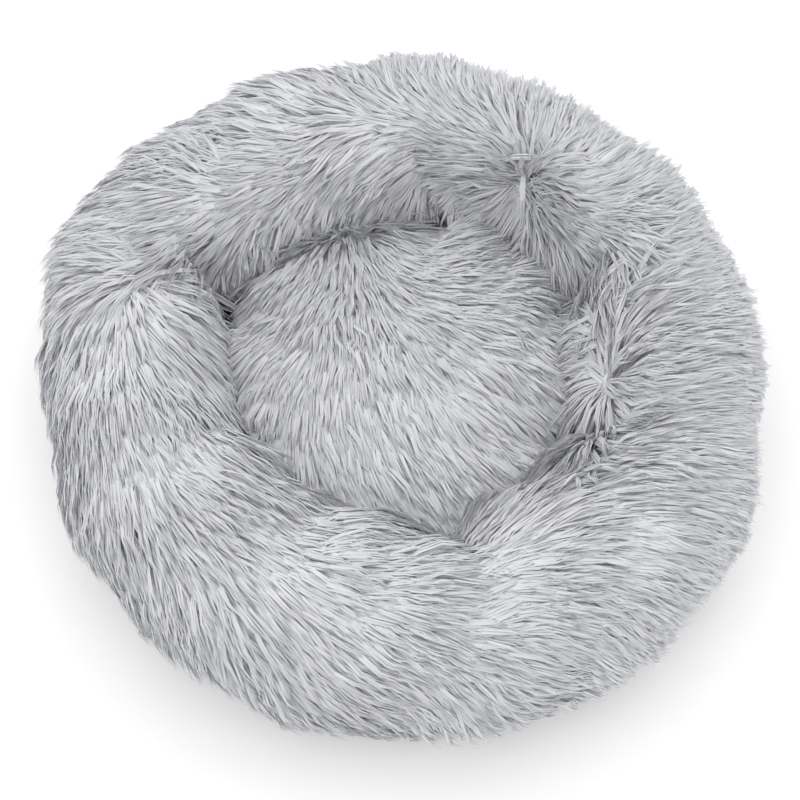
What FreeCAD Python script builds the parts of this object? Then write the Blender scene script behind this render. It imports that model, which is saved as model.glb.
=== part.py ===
import FreeCAD, Part
import os
from math import hypot, sqrt

# Round pet bed: a stuffed ring round a sleeping cushion, both covered in long-pile
# fabric, on a woven base with grip dots and a zip. Millimetres, +Z up. The origin is
# the middle of the underside, on the surface that the bed stands on. The zip runs
# along X, and its closed end is at +X.

# Overall sizes, over the lying pile
BED_DIAMETER = 590.0
BED_HEIGHT = 178.0
RING_WIDTH = 166.0            # the ring's thickness, seen from above
RING_SAG = 20.0               # how far the ring's weight has pressed its lower side flat
CUSHION_EDGE_HEIGHT = 86.0    # where the cushion meets the ring
CUSHION_CROWN = 22.0          # the cushion's middle above its edge

# Fabrics and seams
FUR_THICKNESS = 15.0          # knitted backing and the pile lying on it
FUR_BACKING = 1.0
LINER_THICKNESS = 0.8
LAYER_GAP = 0.3               # slack between a cover and the bag inside it
THREAD_DIAMETER = 0.8         # also the gap between two panels that a seam joins
SEAM_ANGLES = (25.0, 160.0)   # the two seams across the ring, from +X
TACK_ANGLES = (27.0, 80.0, 154.0, 205.0, 284.0, 338.0)

# Base
PANEL_THICKNESS = 1.0
DOT_HEIGHT = 2.0
DOT_DIAMETER = 9.0
DOT_PITCH = 50.0
DOT_MARGIN = 12.0             # from the outermost dots to the edge of the base

# Zip
ZIP_LENGTH = 280.0            # between the stops
ZIP_SLOT_WIDTH = 14.0         # between the two halves of the base
TAPE_WIDTH = 15.0
TAPE_THICKNESS = 0.6
TAPE_END = 8.0                # tape past each stop
COIL_WIDTH = 2.4
COIL_HEIGHT = 1.6
COIL_SPREAD = 0.6             # from the zip's centre line to each coil
STOP_LENGTH = 3.0
STOP_WALL = 0.5
STOP_GAP = 0.5                # between the slider and a stop at each end of its travel
STITCH_INSET = 3.0            # from the slot's edge to the line of stitches
RUN_CLEARANCE = 0.15          # round whatever the slider runs along

# Slider and pull
SLIDER_LENGTH = 12.0
SLIDER_PLATE = 0.8
SLIDER_WALL = 1.2
POST_LENGTH = 1.8
POST_WIDTH = 0.8
BRIDGE_LENGTH = 8.4
BRIDGE_WIDTH = 2.4
BRIDGE_THICKNESS = 0.8
BRIDGE_GAP = 1.1              # room for the pull's bar
PULL_THICKNESS = 0.8
PULL_REST_GAP = 0.1           # between the pull's bar and the bridge that it lies on
PULL_LENGTH = 24.0            # from the pull's bar to its tip
PULL_WIDTH = 7.2
PULL_EYE = 5.0                # from the pull's bar to the far end of its eye
PULL_CORNER = 2.5
EYE_CLEARANCE = 0.35          # each side of the bridge

# Care label
LABEL_ANGLE = 90.0
LABEL_WIDTH = 35.0
LABEL_LENGTH = 28.0
LABEL_THICKNESS = 0.4

# Heights that follow
PANEL_TOP = DOT_HEIGHT + PANEL_THICKNESS
TAPE_TOP = PANEL_TOP + TAPE_THICKNESS
COIL_TOP = TAPE_TOP + COIL_HEIGHT
CHANNEL_BOTTOM = PANEL_TOP - RUN_CLEARANCE
CHANNEL_TOP = COIL_TOP + RUN_CLEARANCE
SLIDER_TOP = CHANNEL_TOP + SLIDER_PLATE
SLIDER_BOTTOM = CHANNEL_BOTTOM - SLIDER_PLATE
BRIDGE_TOP = SLIDER_BOTTOM - BRIDGE_GAP
PULL_AXIS_HEIGHT = BRIDGE_TOP + PULL_REST_GAP + 0.5 * PULL_THICKNESS
SEAM_HEIGHT = CUSHION_EDGE_HEIGHT - FUR_THICKNESS

# Widths that follow
BED_RADIUS = 0.5 * BED_DIAMETER
RING_HALF_WIDTH = 0.5 * RING_WIDTH
RING_RADIUS = BED_RADIUS - RING_HALF_WIDTH
RING_HALF_HEIGHT = 0.5 * (BED_HEIGHT - PANEL_TOP + RING_SAG)
RING_CENTRE_HEIGHT = BED_HEIGHT - RING_HALF_HEIGHT
THREAD_RADIUS = 0.5 * THREAD_DIAMETER
COIL_OUTER = COIL_SPREAD + COIL_WIDTH
CHANNEL_HALF_WIDTH = COIL_OUTER + RUN_CLEARANCE
SLIDER_HALF_WIDTH = CHANNEL_HALF_WIDTH + SLIDER_WALL
SLIDER_X = 0.5 * ZIP_LENGTH - 0.5 * SLIDER_LENGTH - STOP_GAP
SLOT_HALF_LENGTH = 0.5 * ZIP_LENGTH + STOP_LENGTH
TAPE_HALF_LENGTH = 0.5 * ZIP_LENGTH + TAPE_END

UP = FreeCAD.Vector(0, 0, 1)
ORIGIN = FreeCAD.Vector(0, 0, 0)
FULL_TURN = 360.0
SIDES = (("front", -1.0), ("back", 1.0))


def point(x, y, z):
    return FreeCAD.Vector(x, y, z)


def box(x_range, y_range, z_range):
    """A block between the two values given for each axis, in either order."""
    low = [min(pair) for pair in (x_range, y_range, z_range)]
    high = [max(pair) for pair in (x_range, y_range, z_range)]
    return Part.makeBox(high[0] - low[0], high[1] - low[1], high[2] - low[2], point(*low))


def turned(shape, angle):
    copy = shape.copy()
    copy.rotate(ORIGIN, UP, angle)
    return copy


def one_solid(shape):
    """The single solid of a boolean's result, without its splitter edges."""
    return shape.removeSplitter().Solids[0]


def save(name, solids):
    shape = solids[0] if len(solids) == 1 else Part.makeCompound(solids)
    shape.exportStep(os.path.join("parts", name + ".step"))


# Sections of the ring and the cushion, in the XZ plane


def ring_curve(grow):
    """The ring's oval section, grown outwards by a distance."""
    centre = point(RING_RADIUS, 0, RING_CENTRE_HEIGHT)
    across = centre + point(RING_HALF_WIDTH + grow, 0, 0)
    above = centre + point(0, 0, RING_HALF_HEIGHT + grow)
    if RING_HALF_HEIGHT > RING_HALF_WIDTH:
        return Part.Ellipse(above, across, centre)
    return Part.Ellipse(across, above, centre)


def ring_wall(height, grow, side):
    """Radius of the ring's inner (side -1) or outer (side +1) wall at a height."""
    rise = (height - RING_CENTRE_HEIGHT) / (RING_HALF_HEIGHT + grow)
    return RING_RADIUS + side * (RING_HALF_WIDTH + grow) * sqrt(1 - rise * rise)


def section(x_range, z_range):
    corners = [point(x_range[0], 0, z_range[0]), point(x_range[1], 0, z_range[0]),
               point(x_range[1], 0, z_range[1]), point(x_range[0], 0, z_range[1])]
    return Part.Face(Part.makePolygon(corners + corners[:1]))


def ring_section(grow, foot):
    """The ring's section above a foot height."""
    oval = Part.Face(Part.Wire(ring_curve(grow).toShape()))
    return oval.common(section((0, BED_DIAMETER), (foot, 2 * BED_HEIGHT)))


def cushion_section(inset, foot):
    """The cushion's section, inset from its crown, with its side along the ring's wall."""
    edge_radius = ring_wall(CUSHION_EDGE_HEIGHT, THREAD_DIAMETER, -1)
    dome_radius = (edge_radius ** 2 + CUSHION_CROWN ** 2) / (2 * CUSHION_CROWN)
    dome_centre = point(0, 0, CUSHION_EDGE_HEIGHT + CUSHION_CROWN - dome_radius)
    dome = Part.Face(Part.Wire(Part.makeCircle(dome_radius - inset, dome_centre, point(0, 1, 0))))
    side_gap = THREAD_DIAMETER + max(0, inset - FUR_THICKNESS)
    body = section((0, RING_RADIUS), (foot, BED_HEIGHT)).common(dome)
    oval = Part.Face(Part.Wire(ring_curve(side_gap).toShape()))
    return body.cut(oval)


def spun(face):
    return face.revolve(ORIGIN, UP, FULL_TURN)


def zip_tunnel(slack):
    """The room that the zip takes up above the base."""
    reach = TAPE_HALF_LENGTH + LAYER_GAP + slack
    side = COIL_SPREAD + TAPE_WIDTH + LAYER_GAP + slack
    return box((-reach, reach), (-side, side), (DOT_HEIGHT, SLIDER_TOP + LAYER_GAP + slack))


# Ring


def seam_slab(angle):
    """The gap that a seam across the ring leaves between two panels."""
    slab = box((0, BED_DIAMETER), (-THREAD_RADIUS, THREAD_RADIUS), (0, 2 * BED_HEIGHT))
    return turned(slab, angle)


def ring_covers():
    """The two fur panels of the ring: (back, front)."""
    shell_face = ring_section(0, PANEL_TOP).cut(ring_section(-FUR_THICKNESS, PANEL_TOP))
    first, last = SEAM_ANGLES
    covers = []
    for start, span in ((first, last - first), (last, FULL_TURN - last + first)):
        panel = turned(shell_face, start).revolve(ORIGIN, UP, span)
        panel = panel.cut(seam_slab(first)).cut(seam_slab(last)).cut(zip_tunnel(0))
        covers.append(one_solid(panel))
    return covers


def ring_seam_thread():
    """One thread over the ring in each seam, level with the panels' backing."""
    depth = FUR_THICKNESS - FUR_BACKING
    foot = section((0, BED_DIAMETER), (PANEL_TOP + THREAD_RADIUS, 2 * BED_HEIGHT))
    arch = Part.Wire(ring_curve(-depth).toShape()).common(foot)
    path = Part.Wire(Part.__sortEdges__(arch.Edges))
    start = path.Edges[0]
    tangent = start.tangentAt(start.FirstParameter)
    ring = Part.makeCircle(THREAD_RADIUS, start.valueAt(start.FirstParameter), tangent)
    thread = path.makePipeShell([Part.Wire(ring)], True, True)
    return [turned(thread, angle).Solids[0] for angle in SEAM_ANGLES]


def ring_inner():
    """The ring's liner bag and the fibre in it."""
    bag = -(FUR_THICKNESS + LAYER_GAP)
    packing = bag - LINER_THICKNESS
    outer = spun(ring_section(bag, PANEL_TOP)).cut(zip_tunnel(0))
    inner = spun(ring_section(packing, PANEL_TOP + LINER_THICKNESS)).cut(zip_tunnel(LINER_THICKNESS))
    return one_solid(outer.cut(inner)), one_solid(inner)


# Cushion


def cushion_cover():
    outer = cushion_section(0, PANEL_TOP)
    inner = cushion_section(FUR_THICKNESS, PANEL_TOP)
    return one_solid(spun(outer.cut(inner)))


def cushion_inner():
    """The cushion's liner bag and the fibre in it, raised over the zip."""
    bag = FUR_THICKNESS + LAYER_GAP
    packing = bag + LINER_THICKNESS
    outer = spun(cushion_section(bag, PANEL_TOP)).cut(zip_tunnel(0))
    inner = spun(cushion_section(packing, PANEL_TOP + LINER_THICKNESS)).cut(zip_tunnel(LINER_THICKNESS))
    return one_solid(outer.cut(inner)), one_solid(inner)


def inner_seam_thread():
    radius = ring_wall(SEAM_HEIGHT, THREAD_RADIUS, -1)
    return Part.makeTorus(radius, THREAD_RADIUS, point(0, 0, SEAM_HEIGHT))


def pinch_tacks():
    """Threads that hold the crease down to the base, in the gap between ring and cushion."""
    band = section((0, RING_RADIUS), (PANEL_TOP, SEAM_HEIGHT - THREAD_DIAMETER))
    outer = Part.Face(Part.Wire(ring_curve(THREAD_DIAMETER).toShape()))
    inner = Part.Face(Part.Wire(ring_curve(0).toShape()))
    strip = band.common(outer).cut(inner)
    tack = strip.extrude(point(0, THREAD_DIAMETER, 0))
    tack.translate(point(0, -THREAD_RADIUS, 0))
    return [turned(tack, angle).Solids[0] for angle in TACK_ANGLES]


# Base


def base_radius():
    return ring_wall(PANEL_TOP, 0, 1)


def base_panel(side):
    """Half of the base disc, with half of the zip's slot."""
    radius = base_radius()
    disc = Part.makeCylinder(radius, PANEL_THICKNESS, point(0, 0, DOT_HEIGHT))
    half = box((-radius, radius), (side * THREAD_RADIUS, side * radius), (0, BED_HEIGHT))
    slot = box((-SLOT_HALF_LENGTH, SLOT_HALF_LENGTH), (0, side * 0.5 * ZIP_SLOT_WIDTH), (0, BED_HEIGHT))
    return one_solid(disc.common(half).cut(slot))


def grip_dots():
    """A square field of dots on both halves, none of them over the zip."""
    reach = base_radius() - DOT_MARGIN - 0.5 * DOT_DIAMETER
    first_row = 0.5 * DOT_PITCH
    steps = int(reach / DOT_PITCH) + 1
    dots = []
    for row in range(steps):
        y = first_row + row * DOT_PITCH
        for column in range(-steps, steps + 1):
            x = column * DOT_PITCH
            if hypot(x, y) <= reach:
                dots += [Part.makeCylinder(0.5 * DOT_DIAMETER, DOT_HEIGHT, point(x, side * y, 0))
                         for name, side in SIDES]
    return dots


def base_seam_thread():
    """The seam that joins the ring's cover to the base, against the base's edge."""
    return Part.makeTorus(base_radius() + THREAD_RADIUS, THREAD_RADIUS, point(0, 0, PANEL_TOP - THREAD_RADIUS))


def base_split_thread():
    """The two short seams between the halves of the base, past the zip's ends."""
    middle = DOT_HEIGHT + 0.5 * PANEL_THICKNESS
    length = base_radius() - SLOT_HALF_LENGTH
    return [Part.makeCylinder(THREAD_RADIUS, length, point(start, 0, middle), point(1, 0, 0))
            for start in (-base_radius(), SLOT_HALF_LENGTH)]


def care_label():
    inner = base_radius() + THREAD_DIAMETER
    top = PANEL_TOP - 0.5 * (PANEL_THICKNESS - LABEL_THICKNESS)
    label = box((inner, inner + LABEL_LENGTH), (-0.5 * LABEL_WIDTH, 0.5 * LABEL_WIDTH), (top - LABEL_THICKNESS, top))
    return turned(label, LABEL_ANGLE)


# Zip


def zip_tape(side):
    edges = (side * COIL_SPREAD, side * (COIL_SPREAD + TAPE_WIDTH))
    return box((-TAPE_HALF_LENGTH, TAPE_HALF_LENGTH), edges, (PANEL_TOP, TAPE_TOP))


def zip_coil(side):
    edges = (side * COIL_SPREAD, side * COIL_OUTER)
    return box((-0.5 * ZIP_LENGTH, 0.5 * ZIP_LENGTH), edges, (TAPE_TOP, COIL_TOP))


def zip_thread():
    """A line of stitches on each tape, fixing it to the base."""
    y = 0.5 * ZIP_SLOT_WIDTH + STITCH_INSET
    height = TAPE_TOP + THREAD_RADIUS
    return [Part.makeCylinder(THREAD_RADIUS, 2 * TAPE_HALF_LENGTH, point(-TAPE_HALF_LENGTH, side * y, height),
                              point(1, 0, 0)) for name, side in SIDES]


def zip_top_stops():
    """Two crimped stops past the coils' closed ends, one on each tape."""
    start = 0.5 * ZIP_LENGTH
    return [box((start, start + STOP_LENGTH), (side * COIL_SPREAD, side * COIL_OUTER),
                (TAPE_TOP, COIL_TOP + STOP_WALL)) for name, side in SIDES]


def zip_bottom_stop():
    """One staple across both tapes at the zip's open end."""
    end = -0.5 * ZIP_LENGTH
    return box((end - STOP_LENGTH, end), (-COIL_OUTER, COIL_OUTER), (TAPE_TOP, COIL_TOP + STOP_WALL))


def zip_slider():
    """Two plates round the coils, joined by a post, with a bridge for the pull."""
    ends = (SLIDER_X - 0.5 * SLIDER_LENGTH, SLIDER_X + 0.5 * SLIDER_LENGTH)
    sides = (-SLIDER_HALF_WIDTH, SLIDER_HALF_WIDTH)
    body = box(ends, sides, (CHANNEL_TOP, SLIDER_TOP))
    body = body.fuse(box(ends, sides, (SLIDER_BOTTOM, CHANNEL_BOTTOM)))
    for name, side in SIDES:
        wall = (side * CHANNEL_HALF_WIDTH, side * SLIDER_HALF_WIDTH)
        body = body.fuse(box(ends, wall, (TAPE_TOP + RUN_CLEARANCE, CHANNEL_TOP)))
    post = (ends[1] - POST_LENGTH, ends[1])
    body = body.fuse(box(post, (-0.5 * POST_WIDTH, 0.5 * POST_WIDTH), (CHANNEL_BOTTOM, CHANNEL_TOP)))
    bridge = (-0.5 * BRIDGE_WIDTH, 0.5 * BRIDGE_WIDTH)
    bridge_ends = (SLIDER_X - 0.5 * BRIDGE_LENGTH, SLIDER_X + 0.5 * BRIDGE_LENGTH)
    body = body.fuse(box(bridge_ends, bridge, (BRIDGE_TOP - BRIDGE_THICKNESS, BRIDGE_TOP)))
    for end, inwards in zip(bridge_ends, (1.0, -1.0)):
        leg = (end, end + inwards * BRIDGE_THICKNESS)
        body = body.fuse(box(leg, bridge, (BRIDGE_TOP, SLIDER_BOTTOM)))
    return one_solid(body)


def zip_pull():
    """A flat tab with an eye, lying along the closed zip, hung on the bridge by its bar."""
    half = 0.5 * PULL_THICKNESS
    eye = 0.5 * BRIDGE_WIDTH + EYE_CLEARANCE
    heights = (PULL_AXIS_HEIGHT - half, PULL_AXIS_HEIGHT + half)
    tab = box((SLIDER_X - PULL_LENGTH, SLIDER_X), (-0.5 * PULL_WIDTH, 0.5 * PULL_WIDTH), heights)
    tip = [edge for edge in tab.Edges
           if edge.BoundBox.ZLength > half and edge.BoundBox.XMax < SLIDER_X - half]
    tab = tab.makeFillet(PULL_CORNER, tip)
    tab = tab.cut(box((SLIDER_X - PULL_EYE, SLIDER_X), (-eye, eye), heights))
    bar_start = point(SLIDER_X, -0.5 * PULL_WIDTH, PULL_AXIS_HEIGHT)
    bar = Part.makeCylinder(half, PULL_WIDTH, bar_start, point(0, 1, 0))
    return one_solid(tab.fuse(bar))


def main():
    os.makedirs("parts", exist_ok=True)
    back, front = ring_covers()
    ring_liner, ring_fill = ring_inner()
    cushion_liner, cushion_fill = cushion_inner()
    save("ring_cover_back", [back])
    save("ring_cover_front", [front])
    save("ring_seam_thread", ring_seam_thread())
    save("ring_liner", [ring_liner])
    save("ring_fill", [ring_fill])
    save("cushion_cover", [cushion_cover()])
    save("cushion_liner", [cushion_liner])
    save("cushion_fill", [cushion_fill])
    save("inner_seam_thread", [inner_seam_thread()])
    save("pinch_tacks", pinch_tacks())
    for name, side in SIDES:
        save("base_panel_" + name, [base_panel(side)])
        save("zip_tape_" + name, [zip_tape(side)])
        save("zip_coil_" + name, [zip_coil(side)])
    save("grip_dots", grip_dots())
    save("base_seam_thread", [base_seam_thread()])
    save("base_split_thread", base_split_thread())
    save("care_label", [care_label()])
    save("zip_thread", zip_thread())
    save("zip_top_stops", zip_top_stops())
    save("zip_bottom_stop", [zip_bottom_stop()])
    save("zip_slider", [zip_slider()])
    save("zip_pull", [zip_pull()])


main()
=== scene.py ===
from math import asin, cos, pi, radians, sin, sqrt

import bpy
import numpy as np
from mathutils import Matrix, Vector
from mathutils.bvhtree import BVHTree


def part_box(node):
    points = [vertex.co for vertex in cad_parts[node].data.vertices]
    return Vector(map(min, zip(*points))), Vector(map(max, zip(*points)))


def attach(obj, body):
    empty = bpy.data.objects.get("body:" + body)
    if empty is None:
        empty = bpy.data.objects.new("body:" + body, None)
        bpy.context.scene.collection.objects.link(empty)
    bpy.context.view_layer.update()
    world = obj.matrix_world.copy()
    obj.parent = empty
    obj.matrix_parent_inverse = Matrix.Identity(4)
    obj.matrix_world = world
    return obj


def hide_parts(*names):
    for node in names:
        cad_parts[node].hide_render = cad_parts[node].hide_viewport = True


# A round long-pile pet bed, in metres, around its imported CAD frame. Angles round the
# bed are counted from +X towards +Y. "Over" is how far a point lies across the ring:
# 0 at the crease by the cushion, 1 at the outer foot, about 0.5 on the crest.

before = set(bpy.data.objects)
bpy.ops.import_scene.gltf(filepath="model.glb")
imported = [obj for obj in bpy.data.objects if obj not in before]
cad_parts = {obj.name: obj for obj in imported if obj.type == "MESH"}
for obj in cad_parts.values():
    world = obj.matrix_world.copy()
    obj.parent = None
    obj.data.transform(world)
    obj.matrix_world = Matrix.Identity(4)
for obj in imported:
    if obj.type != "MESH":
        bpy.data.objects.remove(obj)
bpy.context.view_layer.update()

BODY = "bed"
SEED = 7

# ---------------- sizes from the frame


def mesh_values(obj, field="co"):
    """A value of three parts, such as the place, at each vertex of an object's mesh."""
    values = np.zeros(len(obj.data.vertices) * 3)
    obj.data.vertices.foreach_get(field, values)
    return values.reshape(-1, 3)


def node_points(name):
    return mesh_values(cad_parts[name])


def node_radii(name):
    points = node_points(name)
    radii = np.hypot(points[:, 0], points[:, 1])
    return radii.min(), radii.max()


def seam_azimuths():
    points = node_points("ring_seam_thread")
    around = np.arctan2(points[:, 1], points[:, 0])
    return around[around < pi / 2].mean(), around[around > pi / 2].mean()


BASE_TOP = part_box("base_panel_front")[1].z
BASE_RADIUS = node_radii("base_panel_front")[1]
CREST_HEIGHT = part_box("ring_cover_front")[1].z
RING_INNER, RING_OUTER = node_radii("ring_cover_front")
LINER_OUTER = node_radii("ring_liner")[1]
CUSHION_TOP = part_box("cushion_cover")[1].z
ZIP_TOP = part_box("zip_slider")[1].z
SEAMS = seam_azimuths()

RING_RADIUS = 0.5 * (RING_INNER + RING_OUTER)
HALF_WIDTH = 0.5 * (RING_OUTER - RING_INNER)
FOOT_SLOPE = sqrt(1 - ((BASE_RADIUS - RING_RADIUS) / HALF_WIDTH) ** 2)
HALF_HEIGHT = (CREST_HEIGHT - BASE_TOP) / (1 + FOOT_SLOPE)
CENTRE_HEIGHT = CREST_HEIGHT - HALF_HEIGHT
PILE_DEPTH = RING_OUTER - LINER_OUTER

# ---------------- shape

SKIN_GAP = 0.0005  # between the ring's skin and the base under it
CREASE_RADII = (  # degrees round the bed, radius of the crease there
    (5, 0.135), (18, 0.143), (31, 0.155), (49, 0.154), (58, 0.157), (73, 0.151), (83, 0.149),
    (95, 0.142), (108, 0.142), (126, 0.147), (137, 0.149), (152, 0.152), (163, 0.142), (182, 0.132),
    (205, 0.122), (233, 0.117), (254, 0.119), (270, 0.124), (284, 0.139), (298, 0.133), (312, 0.135),
    (338, 0.138), (350, 0.131))
OUTLINE = (  # degrees round the bed, metres the ring bulges out of round there
    (0, -0.002), (15, 0.004), (30, 0.008), (45, 0.003), (75, -0.002), (90, 0.0), (105, 0.008), (120, 0.008),
    (135, 0.006), (150, 0.012), (165, 0.008), (180, -0.003), (195, -0.009), (225, -0.010), (240, -0.004),
    (255, -0.005), (270, 0.0), (285, -0.002), (300, 0.006), (315, 0.010), (330, 0.012), (345, 0.006))
PINCHES = (  # degrees round the bed, metres deep, degrees wide
    (27, 0.014, 5), (55, 0.012, 5), (80, 0.010, 5), (152, 0.015, 6), (205, 0.006, 6),
    (284, 0.009, 6), (338, 0.014, 5))
FOLDS = (  # degrees, lean in degrees over the ring, depth, width in degrees, how far over
    (153, 8, 0.014, 8.0, 0.58),
    (24, -6, 0.014, 6.0, 0.50),
    (57, -4, 0.012, 6.0, 0.45),
    (79, -3, 0.006, 7.0, 0.48),
    (335, 3, 0.012, 6.0, 0.50),
    (284, 0, 0.007, 6.0, 0.62))
CREASE_SKIN_HEIGHT = 0.087
CUSHION_SIDE_GAP = 0.002

CREASE_SPREAD = (0.15, 0.9)  # how far in on the ring's inner side the crease's own radius takes over
OUTLINE_SPREAD = (0.30, 0.62)  # how far over the ring the outline's bulges do
LUMP_HEIGHTS = (0.0030, 0.0022, 0.0016)  # of the ring's lumps, from wide to small
PINCH_SPREAD = (0.1, 0.75)
FOLD_END = 0.15
RING_SWELL = 0.007  # the stuffing swells the ring no further than this
CUSHION_SWELL = 0.006
STUFFING_PRESSURE = 4.0
SWELL_FRAMES = 20
CUSHION_FLATNESS = 3.2
CUSHION_PINCH = 0.8  # of the ring's pinches, and how much wider
CUSHION_PINCH_WIDEN = 1.8
CUSHION_TUCK = 0.004  # the cushion's foot lies this far inside its edge
BLUR_SAMPLES = 9

# How finely the two skins are meshed.
RING_AROUND = 260
RING_OVER = 76
RING_UNDER = 18
CUSHION_AROUND = 150
CUSHION_RINGS = 28
UNDER_RINGS = 12

# ---------------- cloth, base and zip

BACKING_THICKNESS = 0.001
LINER_DEPTH = 0.0014  # under the cover's outer face
STUFFING_DEPTH = 0.0024
BASE_THICKNESS = 0.001
BASE_WAVES = 0.0002
TAPE_WAVES = 0.00005
LABEL_WAVES = 0.0004
WRINKLE_WAVES = (  # how fast along X and Y, start in radians, share
    (61, 37, 0.0, 1.0), (-29, 143, 1.3, 0.6), (211, 90, 0.0, 0.4))
FLAT_RIM = 0.02  # the base cloth's waves die out over this, in to its rim
PANEL_STEPS = (121, 61)
PANEL_END = 0.0006
TAPE_STEPS = (120, 10)
LABEL_STEPS = (24, 20)
CLOTH_STEP = 0.0002  # the narrowest strip in the base cloth's mesh
ZIP_SLOT_HALF_WIDTH = 0.007
ZIP_SLOT_END = 0.003  # slot past the end of the coils
SLOT_CORNER_ROOM = 0.002
DOT_PITCH = 0.050
DOT_DIAMETER = 0.009
DOT_SIDES = 24
DOT_PROFILE = (  # share of the dot's radius, share of its depth
    (1.0, 0.0), (1.0, 0.30), (0.94, 0.62), (0.76, 0.88), (0.45, 0.98), (0.15, 1.0))
COIL_PITCH = 0.0014
COIL_WIRE = 0.00032
COIL_STEPS = 10
STITCH_PITCH = 0.0035
STITCH_SHARES = (0.0, 0.15, 0.5, 0.85, 1.0)  # where along a stitch its points lie
STITCH_SWELL = (0.5, 1.0, 1.0, 1.0, 0.5)  # and its thickness there
STITCH_DIP = (1.0, 0.35, 0.0, 0.35, 1.0)  # and how deep in the cloth
STITCH_START = 0.08  # shares of the pitch
STITCH_COVER = 0.84
SEAM_LIFT = 0.0005  # stitches stand out this far from the ring's cloth
TACK_LIFT = 0.0006
TACK_STITCHES = 6
TACK_HEIGHT = 0.004
TACK_WIDTH = 0.009

# ---------------- fur

LOCK_SPACING = 0.0036
DRAWS_PER_LOCK = 3.5  # tries for each place where a lock may root
STRANDS_PER_LOCK = 5
LOCK_LENGTH = 0.038
STRAND_RADIUS = 0.00070
RIBBON = np.array([  # a strand's three-cornered section, in its radius, flat side up
    [1.0, 0.22], [0.0, -0.45], [-1.0, 0.22]])
STRAND_ROLL = 0.2
THINNEST = 0.75  # of the strand radius, and how much more the thickest has
THICKER = 0.5
LENGTH_NOISE = 0.14
LIFT_NOISE = 0.18
TIP_NOISE = 0.2
LOCK_TONE = 0.55  # 0 is the darkest strand, 1 the lightest
LOCK_TONE_NOISE = 0.2
STRAND_TONE_NOISE = 0.13
LOCK_RADIUS = 0.0022
RING_STEPS = np.array([0.0, 0.36, 0.72, 1.0])  # along a strand, the last one its tip
STEP_WIDTHS = np.array([1.0, 1.05, 0.85])
LIFT = np.radians([28.0, 10.0, 1.0])  # of each stretch above the skin
DROOP = np.array([0.04, 0.10, 0.16])
GATHER = np.array([1.0, 1.0, 0.85, 0.55])  # how far a lock's strands stay apart
WANDER = np.array([0.0, 0.25, 0.7, 1.0])  # how much of its stray a strand has by each point
TRIANGLE_LIMIT = 190000  # in one piece
STRAND_POINTS = 10  # three corners at each of three steps, and the tip
STRAND_TRIANGLES = 16
CREASE_PILE_DEPTH = 0.004  # the ring's pile starts this far under the crease's height
CUSHION_PILE_DEPTH = 0.006  # and the cushion's this far
FOOT_PILE_HEIGHT = 0.003  # no pile roots nearer the base than this
UNDERSIDE = -0.93  # and none where the cloth faces down more than this

# Which way the pile is combed, in rows over the ring. Each row lists degrees round the bed and
# the comb there: 0 lies outwards over the ring, 90 round it, 180 in towards the crease.
COMB_ROWS = (
    (0.32, ((0, 170), (15, 150), (30, -145), (45, -165), (60, 165), (75, 180), (90, 165),
            (105, 165), (120, 155), (135, 150), (150, 140), (165, 180), (180, 160), (190, 150),
            (205, 140), (225, 130), (245, 115), (260, 95), (275, 90), (290, 120), (305, 110),
            (320, -145), (333, -125), (347, 175))),
    (0.43, ((5, 10), (20, -155), (28, -100), (35, -60), (50, -100), (64, 120), (73, 95), (82, 105),
            (95, 130), (104, 130), (116, 75), (131, 65), (145, 65), (155, 50), (165, -170),
            (175, 150), (184, 130), (200, 110), (215, 115), (225, 110), (240, 85), (255, 85),
            (270, 80), (281, 65), (290, 110), (302, 80), (320, 60), (340, 10), (352, 25))),
    (0.53, ((5, 5), (20, 10), (35, -5), (45, 0), (60, 25), (75, 20), (90, 5), (102, 35), (112, 50),
            (122, 45), (135, 40), (150, 30), (165, 10), (175, 75), (186, 75), (200, 80), (210, 90),
            (225, 85), (235, 70), (245, 55), (260, 55), (275, 60), (288, 70), (300, 60), (315, 50),
            (330, 40), (343, 30), (354, 10))),
    (0.66, ((0, 15), (20, 12), (40, 10), (60, 15), (80, 5), (100, 10), (120, 30), (140, 25),
            (155, 20), (168, 10), (180, 50), (195, 65), (205, 58), (220, 55), (235, 45), (250, 35),
            (262, 50), (275, 30), (290, 35), (305, 25), (320, 25), (335, 28), (348, 20))))
CUSHION_STROKES = (  # metres from the middle along X and Y, heading in degrees from +X
    (-0.12, 0.06, 200), (-0.09, 0.09, 235), (-0.05, 0.11, 265), (-0.01, 0.12, 320), (0.03, 0.12, 350),
    (0.07, 0.11, 350), (-0.10, 0.02, 230), (-0.06, 0.06, 225), (-0.03, 0.07, 275), (0.01, 0.07, 335),
    (0.05, 0.06, 340), (0.10, 0.05, 330), (-0.05, 0.01, 255), (-0.02, 0.03, 285), (0.0, 0.03, 305),
    (0.04, 0.01, 320), (0.08, 0.0, 320), (-0.10, -0.03, 260), (-0.04, -0.05, 285), (0.0, -0.03, 295),
    (0.04, -0.06, 305), (0.08, -0.06, 315), (0.0, -0.08, 290))
CUSHION_REACH = 0.03
TOUSLED = (  # X, Y and reach in metres of spots where the pile lies every way
    (-0.04, 0.06, 0.030), (-0.01, 0.045, 0.025), (0.13, 0.165, 0.022), (-0.20, 0.05, 0.025),
    (-0.13, 0.15, 0.035), (0.05, 0.19, 0.030), (0.19, 0.03, 0.030), (0.17, -0.09, 0.035), (0.18, -0.03, 0.03),
    (0.06, -0.21, 0.025), (0.158, -0.041, 0.022), (0.094, 0.127, 0.022))
TOUSLE = 0.4  # of neighbouring locks there together
TOUSLE_SPAN = 0.02
TOUSLE_NOISE = 0.12  # of single locks there
LOCK_SWAY = 0.14
SWAY_SPAN = 0.012
SWAY_SHARES = (0.7, 0.5)  # shared with neighbours, a lock's own
SWAY_STEPS = (0.2, 1.0, -0.9)  # how each stretch of a lock takes the sway
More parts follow.
